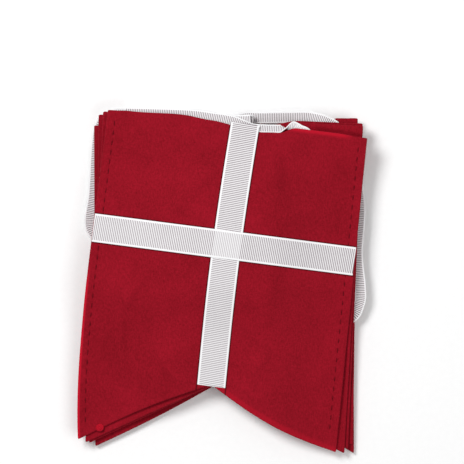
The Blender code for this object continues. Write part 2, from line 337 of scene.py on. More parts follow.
RIGHT_LOOP = (
    Point(4.0, 96.4, 2.0, 1),
    Point(14.5, 98.2, 2.0, 1),
    Point(24.0, 98.2, 2.0, 1),
    Point(40.0, 98.4, 2.0, 1),
    Point(51.0, 98.4, 2.25, 1),
    Point(61.0, 96.1, 3.0, 1.1),
    Point(69.0, 91.0, 3.0, 1.1),
    Point(74.0, 80.0, 3.0, 1.1),
    Point(79.0, 64.0, 3.0, 1.1),
    Point(81.7, 50.0, 3.0, 1.1),
    Point(82.0, 36.6, 3.0, 1.1),
    Point(80.6, 16.0, 3.0, 1.1),
    Point(82.4, -3.0, 3.0, 1.1),
    Point(81.9, -14.0, 3.0, 1.1),
    Point(74.5, -22.8, 3.0, 1.1),
    Point(46.0, -21.0, 3.0, 1.1),
    Point(1.0, -4.0, 3.0, 1.1),
    Point(-43.8, 11.4, 3.0, 1.1),
    Point(-60.0, 21.0, 3.0, 1.1),
    Point(-66.0, 36.0, 3.0, 1.1),
    Point(-66.0, 75.0, 3.0, 1.1),
    Point(-65.0, 88.0, 3.0, 1.1),
    Point(-62.0, 95.5, 3.0, 1.1),
    Point(-56.0, 99.6, 3.0, 1.1),
    Point(-48.0, 100.4, 3.0, 1.3),
    Point(-40.0, 100.2, 3.0, 2),
)
TOP_STRIP = (
    Point(-19.8, 99.4, 5.0, 2.1),
    Point(-7.8, 97.9, 5.0, 2.1),
    Point(5.4, 95.8, 5.0, 2.1),
    Point(13.0, 93.4, 5.0, 2.1),
    Point(20.0, 91.6, 5.0, 2.1),
    Point(34.5, 91.2, 5.0, 2.1),
    Point(41.4, 92.2, 5.0, 2.1),
    Point(43.0, 91.8, 5.0, 2.1),
    Point(46.0, 90.1, 5.0, 2.1),
    Point(50.0, 87.8, 5.0, 2.1),
    Point(52.0, 80.0, 5.0, 2.1),
)

# Where the runs along the tape line start and end.
LEFT_END = -60.0
RIGHT_END = 54.0
RUN_INSET = 3.0
LEFT_LOOP_START = -46.0
LEFT_LOOP_END = -30.0
RIGHT_LOOP_START = -4.0
RIGHT_LOOP_END = -32.0
UPPER_FOLD = 17.4
UPPER_INSET = 1.5
TOP_STRIP_START = -42.0

# The stretches of tape that show, which have fine ribs, and the steps along those and the others.
RIBBED_LEGS = (1, 3, 7)
COARSE_STEP = 2.5
FINE_STEP = RIB / RIB_SAMPLES * 1.25
FOLD_STEPS = 9

# The uppermost strip tilts, then turns over: its width as seen from above, as a share of the real one, at
# distances across the pile, and how much its edges and its middle rise with that.
HALF_TURN = (Knot(5.0, 1.0), Knot(17.0, 0.7), Knot(34.3, 0.7), Knot(42.0, -1.0))
TURN_HEIGHT = 0.35
TURN_LIFT = 0.5

# Colours.
FELT_DARK = (0.18, 0.002, 0.007)
FELT_LIGHT = (0.35, 0.006, 0.019)
# The felt's edge colour is a painted highlight, for the top flag's edges and the hem roll.
FELT_EDGE = (0.52, 0.006, 0.022)
# The ribbon's valley colour is painted shade between its ribs; the crown is its own white.
RIBBON_VALLEY_SHADE = (0.22, 0.18, 0.20)
RIBBON_CROWN = (0.92, 0.905, 0.915)
RIBBON_SELVEDGE = (0.90, 0.90, 0.91)
# The thread's colours are its own red with painted shade of the stitches' dents, so darker than the felt.
THREAD_DARK = (0.08, 0.001, 0.004)
THREAD_LIGHT = (0.19, 0.003, 0.010)
FLOOR_DARK = (0.97, 0.97, 0.97)
FLOOR_LIGHT = (0.99, 0.99, 0.99)
SHEEN_TINT = (1.0, 0.08, 0.14, 1)
# How dark the painted shade at the puckers and along the ribbons' edges is, as a share of the felt's dark
# colour.
DARKENING = 0.3

# How strongly the painted shade in the stitches' puckers darkens felt, how uneven grosgrain's yarn is, how
# much its slow unevenness dulls it, and how much a full tint brightens it.
PUCKER_SHADE = 0.75
YARN_UNEVENNESS = 0.3
DULLING = 0.14
BRIGHTENING = 0.6

# The stage, in metres but for the floor's reach and its drop below the pile.
FLOOR_REACH = 3000.0
FLOOR_DROP = 0.05
WORLD_LIGHT = 0.36
Lamp = namedtuple("Lamp", "name place size power")
LAMPS = (
    Lamp("key_light", (-0.42, 0.42, 0.85), 0.4, 7.0),
    Lamp("fill_light", (0.55, -0.3, 0.9), 0.8, 3.3),
)

# The camera looks straight down: the size of a pixel at the flags' height, and the picture's pixels. The
# sensor is in millimetres.
PIXEL = 0.0006
PHOTO = 464
VIEW_CENTRE = (0.0054, 0.0294)
CAMERA_HEIGHT = 2.0
FOCUS_HEIGHT = 0.014
SENSOR = 36
VIEW_END = 20


# The pile's heights and places, on whole arrays of points.


def ease(value):
    """A smooth step from 0 to 1."""
    value = np.clip(value, 0.0, 1.0)
    return value * value * (3 - 2 * value)


def between(value, low, high):
    """1 between two places, falling to 0 over a shoulder past each."""
    outside = np.maximum(np.maximum(low - value, value - high), 0.0)
    return 1 - ease(outside / SHOULDER)


def mix(a, b, share):
    return a + (b - a) * share


def slab_height(x, y):
    upright = between(x, *UPRIGHT_ZONE)
    tape = between(y, TAPE_ZONE_LOW, FAR)
    level = between(y, *LEVEL_ZONE)
    either = upright + tape - upright * tape
    ripple = RIPPLE * np.sin(x / RIPPLE_X + 1) * np.sin(y / RIPPLE_Y)
    return PLY * (1 + either + level + ripple)


def loop_height(x, y, loops):
    left = between(x, -FAR, LEFT_LOOP_ZONE)
    top = between(y, TOP_LOOP_ZONE, FAR)
    rooms = (left + top - left * top, between(y, LOOP_ZONE_LOW, FAR), top)
    return LOOSE_PLY * sum(room * np.clip(loops - below, 0.0, 1.0) for below, room in enumerate(rooms))


def pile_height(x, y, slab, loops):
    """The middle of a sheet that lies in a slab of the pile."""
    return slab * slab_height(x, y) + loop_height(x, y, loops) + LOWEST_MIDDLE


def value_at(knots, at):
    """A table's values at distances, eased from knot to knot."""
    value = np.full_like(at, knots[0].value, dtype=float)
    for first, last in zip(knots, knots[1:]):
        share = ease((at - first.at) / (last.at - first.at))
        value = np.where(at > first.at, mix(first.value, last.value, share), value)
    return value


def flag_place(flag, along, down):
    """Where a place along and down a flag lies in the pile."""
    turn = np.radians(flag.turn)
    x = flag.x + along * np.cos(turn) + down * np.sin(turn)
    y = flag.y + along * np.sin(turn) - down * np.cos(turn)
    return x, y


def flag_local(flag, x, y):
    """How far places are along a flag from its upright line, and down from its upper edge's line."""
    turn = np.radians(flag.turn)
    along = (x - flag.x) * np.cos(turn) + (y - flag.y) * np.sin(turn)
    down = (x - flag.x) * np.sin(turn) - (y - flag.y) * np.cos(turn)
    return along, down


def below_tape(flag, x, y):
    """Keeps the upper edge of a lower flag below the runs of tape, but for its corners."""
    limit = value_at(TAPE_LINE, x) - TAPE / 2 - TAPE_CLEARANCE
    left = (LEFT_CORNER - x) / CORNER_WIDTH
    if flag.loops < UPPER_LOOPS:
        right = (x - LOWER_RIGHT_CORNER) / CORNER_WIDTH
    else:
        right = (x - UPPER_RIGHT_CORNER) / UPPER_CORNER_WIDTH
    held = np.minimum(y, mix(limit, y, HELD_SHARE))
    return mix(held, y, ease(np.maximum(left, right)))


def cloth_place(flag, across, down_share):
    """Where a place on a flag lies, at -1 to 1 across it and 0 to 1 down it."""
    on_right = across > 0
    side = np.abs(across)
    tail = np.where(on_right, flag.right_tail, flag.left_tail)
    sag = np.where(on_right, flag.right_sag, flag.left_sag)
    length = mix(flag.notch, tail, side) + sag * np.sin(PI * side)
    left_swing = flag.left_swing * down_share**LEFT_SWING_POWER
    swing = np.where(on_right, flag.right_swing * down_share, left_swing)
    along = across * np.where(on_right, FLAG_RIGHT, FLAG_LEFT) + swing * side
    down = down_share * length
    if flag is TOP_FLAG:
        down = down - value_at(TOP_EDGE, along) * (1 - ease(down_share / TOP_EDGE_DEPTH))
        return flag_place(flag, along, down)
    x, y = flag_place(flag, along, down)
    return x, below_tape(flag, x, y)


def creases(x, y):
    """The soft creases of the top flag, each fading towards its ends."""
    height = np.zeros_like(x)
    for crease in CREASES:
        ax, ay = crease.x1 - crease.x0, crease.y1 - crease.y0
        length = np.hypot(ax, ay)
        share = ((x - crease.x0) * ax + (y - crease.y0) * ay) / length**2
        bow = CREASE_BOW * length * np.sin(PI * share)
        off = ((x - crease.x0) * ay - (y - crease.y0) * ax) / length - bow
        fade = ease((share + CREASE_PAST) / CREASE_FADE) * ease((1 + CREASE_PAST - share) / CREASE_FADE)
        height += CREASE_STRENGTH * crease.height * fade * np.exp(-((off / crease.width) ** 2))
    return height


def edge_trough(x, y):
    """Where the flag below the top one dips, just past the top one's upper edge at its right part."""
    along, down = flag_local(TOP_FLAG, x, y)
    past = -down - value_at(TOP_EDGE, along)
    start = ease((along - TROUGH_START) / TROUGH_FADE)
    return -TROUGH_DEPTH * start * np.exp(-(((past - TROUGH_PAST) / TROUGH_WIDTH) ** 2))


def swayed(wave, at, beside):
    """A wave along one direction that another one, across it, sways."""
    return np.sin(at / wave.length + wave.sway * np.sin(beside / wave.sway_length) + wave.lag)


def top_relief(x, y):
    """What the top flag's cloth adds to the pile's shape: its creases, and a slow unevenness."""
    slow = UNEVENNESS * swayed(LEVEL_SWAY, x, y) * swayed(UPRIGHT_SWAY, y, x)
    return creases(x, y) + slow + UNEVENNESS


def felt_height(flag, slab, x, y):
    """The middle of a flag's cloth, without the waves and curl of its edges."""
    z = pile_height(x, y, slab, flag.loops)
    return z + top_relief(x, y) if flag is TOP_FLAG else z


# Meshes.


def normals_of(points):
    """The upward normals of a grid of points."""
    down = np.gradient(points, axis=0)
    over = np.gradient(points, axis=1)
    normal = np.cross(over, down)
    return normal / np.maximum(np.linalg.norm(normal, axis=2, keepdims=True), 1e-9)


def rim_order(rows, columns):
    """The numbers of a grid's border points, in order round it."""
    number = np.arange(rows * columns).reshape(rows, columns)
    return np.concatenate([number[0, :-1], number[:-1, -1], number[-1, :0:-1], number[:0:-1, 0]])


def grid_faces(rows, columns, first=0, turned=False):
    """The faces of a grid whose points are numbered from the first one, row by row."""
    number = first + np.arange(rows * columns).reshape(rows, columns)
    faces = np.stack([number[:-1, :-1], number[:-1, 1:], number[1:, 1:], number[1:, :-1]], axis=-1)
    faces = faces.reshape(-1, 4)
    return faces[:, ::-1] if turned else faces


def distances_along(line):
    """How far each point of a line is from its start."""
    return np.concatenate([[0], np.cumsum(np.linalg.norm(np.diff(line, axis=0), axis=1))])


def new_object(name, points, faces, material, weave=None):
    """A mesh object. weave holds each point's three distances and its tint, as the first lines say."""
    mesh = bpy.data.meshes.new(name)
    mesh.from_pydata((points * MM).tolist(), [], faces.tolist())
    mesh.materials.append(material)
    if weave is not None:
        kept = mesh.attributes.new("weave", "FLOAT_VECTOR", "POINT")
        kept.data.foreach_set("vector", weave[:, :3].astype(np.float32).ravel())
        tint = mesh.attributes.new("tint", "FLOAT", "POINT")
        tint.data.foreach_set("value", weave[:, 3].astype(np.float32))
    mesh.shade_smooth()
    mesh.update()
    piece = bpy.data.objects.new(name, mesh)
    bpy.context.scene.collection.objects.link(piece)
    return piece


def make_sheet(name, middle, thickness, weave, material, face):
    """A closed sheet about its middle points, with a rounded edge. face is the relief of its upper side."""
    rows, columns = middle.shape[:2]
    thickness = np.zeros((rows, columns)) + thickness
    face = np.zeros((rows, columns)) + face
    normal = normals_of(middle)
    if normal[..., 2].mean() < 0:
        middle, weave, thickness, face = middle[::-1], weave[::-1], thickness[::-1], face[::-1]
        normal = normals_of(middle)
    half = thickness[..., None] / 2
    upper = middle + normal * (half + face[..., None])
    lower = middle - normal * half
    border = rim_order(rows, columns)
    rim_middle = middle.reshape(-1, 3)[border]
    rim_normal = normal.reshape(-1, 3)[border]
    reach = half.reshape(-1, 1)[border]
    along = np.roll(rim_middle, -1, axis=0) - np.roll(rim_middle, 1, axis=0)
    outward = np.cross(along, rim_normal)
    outward /= np.linalg.norm(outward, axis=1, keepdims=True)
    inside = middle[rows // 2, columns // 2] - rim_middle
    outward = outward * np.sign(-(outward * inside).sum(1).mean())
    rim = []
    for angle in np.radians(ROUNDING):
        rim.append(rim_middle + reach * (outward * np.cos(angle) + rim_normal * np.sin(angle)))
    points = np.concatenate([upper.reshape(-1, 3), lower.reshape(-1, 3), *rim])
    count, around = rows * columns, len(border)
    levels = [2 * count + around * step + np.arange(around) for step in range(len(rim))]
    rings = [border, *levels, count + border]
    faces = [grid_faces(rows, columns, 0, True), grid_faces(rows, columns, count)]
    for high, low in zip(rings, rings[1:]):
        faces.append(np.stack([high, np.roll(high, -1), np.roll(low, -1), low], axis=-1))
    flat_weave = weave.reshape(-1, 4)
    kept = np.concatenate([flat_weave, flat_weave] + [flat_weave[border]] * len(rim))
    return new_object(name, points, np.concatenate(faces), material, kept)


def make_strip(name, middle, thickness, weave, material, face):
    """A closed strip that may fold back on itself, with the same ribs on both sides."""
    rows, columns = middle.shape[:2]
    offset = normals_of(middle) * (thickness / 2 + face)[..., None]
    ring = np.concatenate([middle + offset, (middle - offset)[:, ::-1]], axis=1)
    around = ring.shape[1]
    number = np.arange(rows * around).reshape(rows, around)
    after = np.roll(number, -1, axis=1)
    sides = np.stack([number[1:], after[1:], after[:-1], number[:-1]], axis=-1).reshape(-1, 4)
    caps = []
    for row in (number[0], number[-1, ::-1]):
        over, under = row[:columns], row[::-1][:columns]
        caps.append(np.stack([over[:-1], over[1:], under[1:], under[:-1]], axis=-1))
    kept = np.concatenate([weave, weave[:, ::-1]], axis=1).reshape(-1, 4)
    return new_object(name, ring.reshape(-1, 3), np.concatenate([sides, *caps]), material, kept)


def ribs(weave):
    """The relief of grosgrain: rounded ribs across it and flat selvedges. A tint smooths the ribs away."""
    across, along, inward, tint = np.moveaxis(weave, -1, 0)
    rib = np.abs(np.cos(PI * (along + RIB_SKEW * across) / RIB)) ** RIB_ROUNDNESS
    ribbed = ease((inward - RIBS_START) / RIBS_FADE) * (1 - SMOOTHING * tint)
    plain = SELVEDGE_HEIGHT * (1 - ribbed) * ease(inward / SELVEDGE_ROUNDING)
    return RIB_HEIGHT * (rib * ribbed + plain) - RIB_HEIGHT / 2


def strip_weave(across, along, width, tint):
    return np.stack([across * width / 2, along, (1 - np.abs(across)) * width / 2, tint + 0 * along], axis=-1)


# Materials.


def new_material(name, colour, roughness):
    material = bpy.data.materials.new(name)
    material.use_nodes = True
    shader = material.node_tree.nodes["Principled BSDF"]
    shader.inputs["Base Color"].default_value = (*colour, 1)
    shader.inputs["Roughness"].default_value = roughness
    return material, material.node_tree, shader


def noise(tree, coords, scale, detail, stretch=(1, 1, 1), turn=0.0):
    mapping = tree.nodes.new("ShaderNodeMapping")
    mapping.inputs["Scale"].default_value = stretch
    mapping.inputs["Rotation"].default_value = (0, 0, turn)
    tree.links.new(coords, mapping.inputs["Vector"])
    texture = tree.nodes.new("ShaderNodeTexNoise")
    texture.inputs["Scale"].default_value = scale
    texture.inputs["Detail"].default_value = detail
    tree.links.new(mapping.outputs["Vector"], texture.inputs["Vector"])
    return texture.outputs["Fac"]


def maths(tree, operation, *values):
    node = tree.nodes.new("ShaderNodeMath")
    node.operation = operation
    for socket, value in zip(node.inputs, values):
        if isinstance(value, (int, float)):
            socket.default_value = value
        else:
            tree.links.new(value, socket)
    return node.outputs[0]


def weighted(tree, first, first_share, second, second_share):
    """The sum of two values, each times its share."""
    one = maths(tree, "MULTIPLY", first, first_share)
    other = maths(tree, "MULTIPLY", second, second_share)
    return maths(tree, "ADD", one, other)


def stops(tree, factor, *places):
    """A colour ramp of (place, colour) pairs."""
    ramp = tree.nodes.new("ShaderNodeValToRGB")
    for stop, (place, colour) in zip(ramp.color_ramp.elements, places):
        stop.position = place
        stop.color = (*colour, 1)
    tree.links.new(factor, ramp.inputs["Fac"])
    return ramp.outputs["Color"]


def blend(tree, factor, first, second):
    """One colour over another, by a factor. Each is a socket or a plain colour."""
    node = tree.nodes.new("ShaderNodeMix")
    node.data_type = "RGBA"
    for socket, value in ((node.inputs[0], factor), (node.inputs[6], first), (node.inputs[7], second)):
        if isinstance(value, tuple):
            socket.default_value = (*value, 1)
        else:
            tree.links.new(value, socket)
    return node.outputs[2]


def bump(tree, shader, height, strength, distance):
    node = tree.nodes.new("ShaderNodeBump")
    node.inputs["Strength"].default_value = strength
    node.inputs["Distance"].default_value = distance
    tree.links.new(height, node.inputs["Height"])
    tree.links.new(node.outputs["Normal"], shader.inputs["Normal"])


def attribute(tree, name, output):
    node = tree.nodes.new("ShaderNodeAttribute")
    node.attribute_name = name
    return node.outputs[output]


def split(tree, vector):
    node = tree.nodes.new("ShaderNodeSeparateXYZ")
    tree.links.new(vector, node.inputs[0])
    return node.outputs


def dark_of(colour):
    return tuple(DARKENING * channel for channel in colour)


def red_felt(name, dark, light, edge):
    """Matte felt-like cloth: fine fibres in two directions over a slow mottling. A tint above 0 blends in the
    edge colour as a painted highlight, and one below 0 is painted shade in a pucker. The cloth also gets a
    painted shadow line just past each ribbon's edge."""
    material, tree, shader = new_material(name, light, roughness=0.9)
    coords = tree.nodes.new("ShaderNodeTexCoord").outputs["Object"]
    fibres = noise(tree, coords, scale=1500, detail=4, stretch=(1, 0.35, 1), turn=0.4)
    crossed = noise(tree, coords, scale=1900, detail=3, stretch=(0.4, 1, 1), turn=-0.5)
    slow = noise(tree, coords, scale=42, detail=3)
    fine = weighted(tree, fibres, 0.55, crossed, 0.45)
    mixed = weighted(tree, fine, 0.75, slow, 0.25)
    tint = attribute(tree, "tint", "Fac")
    field = stops(tree, mixed, (0.34, dark), (0.66, light))
    # Painted highlight: the edge colour where the tint is above 0.
    edge_highlighted = blend(tree, maths(tree, "MAXIMUM", tint, 0.0), field, edge)
    # Painted shade in the stitches' puckers, where the tint is below 0.
    pucker = maths(tree, "MULTIPLY", maths(tree, "MINIMUM", tint, 0.0), -PUCKER_SHADE)
    puckered = blend(tree, pucker, edge_highlighted, dark_of(dark))
    # A painted shadow line on the cloth just past each ribbon's edge.
    past_upright, past_level, _ = split(tree, attribute(tree, "weave", "Vector"))
    past = maths(tree, "MINIMUM", past_upright, past_level)
    off = maths(tree, "ABSOLUTE", maths(tree, "SUBTRACT", past, SEAM_PAST))
    ribbon_edge_shadow = maths(tree, "MAXIMUM", maths(tree, "SUBTRACT", 1.0, maths(tree, "DIVIDE", off, SEAM_WIDTH)), 0.0)
    shaded = blend(tree, maths(tree, "MULTIPLY", ribbon_edge_shadow, SEAM_SHADE), puckered, dark_of(dark))
    tree.links.new(shaded, shader.inputs["Base Color"])
    shader.inputs["Sheen Weight"].default_value = 0.08
    shader.inputs["Sheen Roughness"].default_value = 0.5
    shader.inputs["Sheen Tint"].default_value = SHEEN_TINT
    shader.inputs["Specular IOR Level"].default_value = 0.1
    bump(tree, shader, fine, strength=0.35, distance=0.0002)
    return material


def grosgrain(name, valley, crown, selvedge):
    """Ribbed ribbon: its colour follows the ribs, its own white on their crowns and painted shade in the
    valleys between them, with smooth bright selvedges. A tint brightens it.
    """
    material, tree, shader = new_material(name, crown, roughness=0.55)
    weave = attribute(tree, "weave", "Vector")
    tint = attribute(tree, "tint", "Fac")
    across, along, inward = split(tree, weave)
    skewed = maths(tree, "ADD", along, maths(tree, "MULTIPLY", across, RIB_SKEW))
    wave = maths(tree, "ABSOLUTE", maths(tree, "COSINE", maths(tree, "MULTIPLY", skewed, PI / RIB)))
    yarn = noise(tree, weave, scale=1.0, detail=2, stretch=(0.8, 6.0, 1))
    uneven = noise(tree, weave, scale=1.0, detail=2, stretch=(0.12, 0.09, 1))
    unlike = maths(tree, "MULTIPLY", maths(tree, "SUBTRACT", yarn, 0.5), YARN_UNEVENNESS)
    # The valleys between the ribs get painted shade.
    ribbed = stops(tree, maths(tree, "ADD", wave, unlike), (0.38, valley), (0.86, crown))
    shaded = blend(tree, maths(tree, "MULTIPLY", uneven, DULLING), ribbed, valley)
    lifted = blend(tree, maths(tree, "MULTIPLY", tint, BRIGHTENING), shaded, selvedge)
    border = maths(tree, "LESS_THAN", inward, SELVEDGE)
    tree.links.new(blend(tree, border, lifted, selvedge), shader.inputs["Base Color"])
    shader.inputs["Sheen Weight"].default_value = 0.1
    shader.inputs["Sheen Roughness"].default_value = 0.4
    shader.inputs["Specular IOR Level"].default_value = 0.3
    bump(tree, shader, yarn, strength=0.25, distance=0.0001)
    return material


def thread(name, dark, light):
    """Twisted sewing thread, darker than the cloth: the thread's own red with painted shade of the dents that
    it is sunk in.
    """
    material, tree, shader = new_material(name, light, roughness=0.6)
    coords = tree.nodes.new("ShaderNodeTexCoord").outputs["Object"]
    twist = noise(tree, coords, scale=2600, detail=2, stretch=(1, 0.4, 1), turn=0.8)
    tree.links.new(stops(tree, twist, (0.35, dark), (0.65, light)), shader.inputs["Base Color"])
    shader.inputs["Specular IOR Level"].default_value = 0.08
    bump(tree, shader, twist, strength=0.4, distance=0.0001)
    return material


def pale_floor(name, dark, light):
    """Matte paper."""
    material, tree, shader = new_material(name, light, roughness=0.9)
    coords = tree.nodes.new("ShaderNodeTexCoord").outputs["Object"]
    paper = noise(tree, coords, scale=300, detail=4)
    tree.links.new(stops(tree, paper, (0.3, dark), (0.7, light)), shader.inputs["Base Color"])
    shader.inputs["Specular IOR Level"].default_value = 0.1
    return material


# The flags.


def hem_distance(across, down, length):
    """How far a place on a flag is from its side and tail edges."""
    width = np.where(across > 0, FLAG_RIGHT, FLAG_LEFT)
    return (1 - np.abs(across)) * width, (1 - down) * length / TAIL_LENGTH_RATIO


def flag_surface(flag, slab, across, down):
    """The middle of a flag's cloth, at arrays of places from -1 to 1 across and 0 to 1 down."""
    x, y = cloth_place(flag, across, down)
    z = felt_height(flag, slab, x, y)
    if flag is NEXT_FLAG:
        z = z + edge_trough(x, y)
    side_wave = np.sin(y / SIDE_WAVE.length + flag.wave + SIDE_WAVE.lag * across)
    z = z + SIDE_WAVE.height * np.abs(across) ** SIDE_WAVE.power * side_wave
    z = z + CURL * ease((across - CURL_START) / CURL_SHARE) * ease((CURL_TOP - y) / CURL_FADE)
    tail_wave = np.sin(x / TAIL_WAVE.length + TAIL_WAVE.lag * flag.wave)
    z = z + TAIL_WAVE.height * down**TAIL_WAVE.power * tail_wave
    return np.stack([x, y, np.maximum(z, HEM_CLOTH / 2 + RIM_CLEARANCE)], axis=-1)


def close_then_even(length, count):
    """Shares from 0 to 1: the hem's close rows, as shares of a length, then a count of even ones."""
    hem = HEM_ROWS / length
    return np.concatenate([hem, np.linspace(hem[-1], 1, count)[1:]])


def flag_grid(flag):
    """Even steps over the field, with close ones at the hem."""
    one_side = 1 - close_then_even(GRID_WIDTH, int(round(GRID_WIDTH / flag.spacing)))
    down = 1 - close_then_even(GRID_LENGTH, int(round(ROWS_LENGTH / flag.spacing)))
    return np.meshgrid(np.concatenate([-one_side, one_side[-2::-1]]), down[::-1])


def past_ribbons(flag, x, y):
    """How far places on a flag are from the edges of its upright and its level ribbon."""
    along, down = flag_local(flag, x, y)
    foot = flag.notch + RIBBON_PAST_NOTCH
    bow = RIBBON_BOW * np.sin(PI * np.clip((foot - down) / foot, 0, 1))
    return np.abs(along + bow) - RIBBON / 2, np.abs(down - LEVEL_RIBBON_DROP) - RIBBON / 2


def edge_tint(across, side, tail, top):
    """The top flag's painted highlights on its edges, from how far places are from its side, tail and upper
    edges.
    """
    left = (across < 0) * (1 - ease((side - LEFT_RIM) / RIM_FADE))
    left = left * ease((top - LEVEL_RIBBON_DROP) / LEFT_RIM_FADE_IN)
    band = TAIL_RIM_TINT * (across > 0) * (1 - ease((tail - TAIL_HEM + HEM_LEAD) / HEM_STEP))
    upper = UPPER_RIM_TINT * (1 - ease((top - UPPER_RIM) / RIM_FADE))
    upper = upper * ease((across - UPPER_RIM_START) / UPPER_RIM_FADE_IN)
    upper = upper * ease((UPPER_RIM_END - across) / UPPER_RIM_FADE_OUT)
    return np.maximum(np.maximum(left, band), upper)


def stitch_places(flag, slab):
    """The middles of the hem's stitches, along the two sides."""
    down = np.linspace(*STITCH_LINE, STITCH_SAMPLES)
    places = []
    for sign, width in ((-1, FLAG_LEFT), (1, FLAG_RIGHT)):
        across = sign * (1 - (HEM - STITCH_INSET) / width) * np.ones_like(down)
        line = flag_surface(flag, slab, across[None], down[None])[0]
        gone = distances_along(line)
        for start in np.arange(STITCH_PITCH * FIRST_STITCH, gone[-1] - STITCH / 2, STITCH_PITCH):
            run = start + np.linspace(-0.5, 0.5, STITCH_RINGS) * STITCH
            places.append(np.stack([np.interp(run, gone, line[:, axis]) for axis in range(3)], axis=-1))
    return places


def puckers(middle, places):
    """1 at the hem's stitches, falling to 0 about a thread's width away."""
    dip = np.zeros(middle.shape[:2])
    for run in places:
        centre, ends = run[len(run) // 2], run[-1] - run[0]
        length = np.hypot(ends[0], ends[1])
        offset = middle[..., :2] - centre[:2]
        along = (offset[..., 0] * ends[0] + offset[..., 1] * ends[1]) / length
        across = (offset[..., 0] * ends[1] - offset[..., 1] * ends[0]) / length
        near = np.exp(-((across / PUCKER_WIDTH) ** 2) - (along / (length / 2)) ** 4)
        dip = np.maximum(dip, near)
    return dip


def make_stitches(name, places, material):
    """One mesh of threads, each a thin capsule that dips into the cloth at both ends."""
    points, faces = [], []
    angle = 2 * PI * np.arange(THREAD_SIDES) / THREAD_SIDES
    for run in places:
        bulge = np.sin(np.linspace(0, PI, len(run)))
        ends = run[-1] - run[0]
        over = np.array([-ends[1], ends[0], 0]) / np.hypot(ends[0], ends[1])
        thick = THREAD_RADIUS * mix(THREAD_END, 1, bulge**THREAD_TAPER)
        rise = HEM_CLOTH / 2 + THREAD_RADIUS * (THREAD_ARCH * bulge - THREAD_SINK)
        ring = run[:, None] + UP * rise[:, None, None]
        ring = ring + over * (thick[:, None] * np.cos(angle))[..., None]
        ring = ring + UP * (thick[:, None] * np.sin(angle))[..., None]
        first = len(points) * len(run) * THREAD_SIDES
        points.append(ring.reshape(-1, 3))
        number = first + np.arange(len(run) * THREAD_SIDES).reshape(len(run), THREAD_SIDES)
        after = np.roll(number, -1, axis=1)
        faces.append(np.stack([number[:-1], after[:-1], after[1:], number[1:]], axis=-1).reshape(-1, 4))
        for row in (number[0, ::-1], number[-1]):
            faces.append(np.stack([row[[0, 1, 2, 3]], row[[0, 3, 4, 5]]]))
    piece = new_object(name, np.concatenate(points), np.concatenate(faces), material)
    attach(piece, "root")


def make_cloth(number, flag, material):
    slab = number - 1
    across, down = flag_grid(flag)
    side, tail = hem_distance(across, down, mix(flag.notch, flag.left_tail, np.abs(across)))
    middle = flag_surface(flag, slab, across, down)
    x, y = middle[..., 0], middle[..., 1]
    inside_hem = np.minimum(side - HEM, tail - TAIL_HEM) + HEM_LEAD
    groove = np.exp(-((inside_hem / GROOVE_WIDTH) ** 2))
    thickness = mix(CLOTH, HEM_CLOTH, 1 - ease(inside_hem / HEM_STEP))
    dip, rims = np.zeros_like(x), np.zeros_like(x)
    if flag is TOP_FLAG:
        dip = puckers(middle, stitch_places(flag, slab))
        rims = edge_tint(across, side, tail, down * flag.notch)
    # The tint: painted highlight on the top flag's edges, less painted shade in the puckers at its stitches.
    tint = rims - PUCKER_SHADE_TINT * dip
    weave = np.stack([*past_ribbons(flag, x, y), np.minimum(side, tail), tint], axis=-1)
    face = -GROOVE_DEPTH * groove - PUCKER_DEPTH * dip + NAP * np.sin(x * NAP_X) * np.sin(y * NAP_Y)
    piece = make_sheet(f"flag_{number}_felt", middle, thickness, weave, material, face)
    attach(piece, "root")
    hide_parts(f"flag_{number}_cloth")
    return piece


def make_hem_roll(name, flag, slab, material):
    """The rolled end of a hem, seen end on: a low round pad with a spiral groove. Its tint paints a highlight
    on the pad and painted shade in the groove.
    """
    angles = np.linspace(0, 2 * PI, ROLL_SIDES + 1)[:-1]
    share, angle = np.meshgrid(np.linspace(0, 1, ROLL_RINGS), angles)
    radius = ROLL_RADIUS * share * (1 + ROLL_OVAL * np.sin(2 * angle + 1))
    x = ROLL_PLACE[0] + radius * np.cos(angle)
    y = ROLL_PLACE[1] + radius * np.sin(angle)
    spiral = np.abs(np.cos(PI * (ROLL_TURNS * share - angle / (2 * PI)))) ** 0.5
    dome = ROLL_HEIGHT * np.sqrt(1 - ROLL_ROUNDNESS * share**2)
    groove = ROLL_GROOVE * (1 - spiral) * (share > ROLL_EYE)
    base = felt_height(flag, slab, x, y) + CLOTH / 2
    upper = np.stack([x, y, base + dome - groove], axis=-1)
    lower = np.stack([x, y, base - ROLL_FOOT], axis=-1)
    number = np.arange(2 * x.size).reshape(2, *x.shape)
    after = np.roll(number, -1, axis=1)
    quads = [np.stack([n[:, :-1], n[:, 1:], a[:, 1:], a[:, :-1]], axis=-1) for n, a in zip(number, after)]
    wall = np.stack([number[0, :, -1], number[1, :, -1], after[1, :, -1], after[0, :, -1]], axis=-1)
    faces = np.concatenate([quads[0].reshape(-1, 4), quads[1].reshape(-1, 4)[:, ::-1], wall])
    points = np.concatenate([upper.reshape(-1, 3), lower.reshape(-1, 3)])
    # Painted highlight on the pad, with painted shade in the spiral groove.
    tint = ROLL_HIGHLIGHT - ROLL_GROOVE_SHADE * np.concatenate([(1 - spiral).ravel(), np.ones(spiral.size)])
    weave = np.concatenate([np.full_like(points, FAR), tint[:, None]], axis=1)
    piece = new_object(name, points, faces, material, weave)
    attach(piece, "root")


# The ribbons. The share is how far a place is along one: up from its foot, or to the right.


def upright_middle(flag, slab, across, share):
    if flag is TOP_FLAG:
        top = -RIBBON_PAST_EDGE
    else:
        edge = cloth_place(flag, np.zeros(1), np.zeros(1))[1][0]
        top = flag.y - edge + RIBBON_END_GAP
    along = across * RIBBON / 2
    down = mix(flag.notch + RIBBON_PAST_NOTCH, top, share)
    x, y = flag_place(flag, along - RIBBON_BOW * np.sin(PI * share), down)
    return np.stack([x, y, felt_height(flag, slab, x, y) + SEWN], axis=-1)


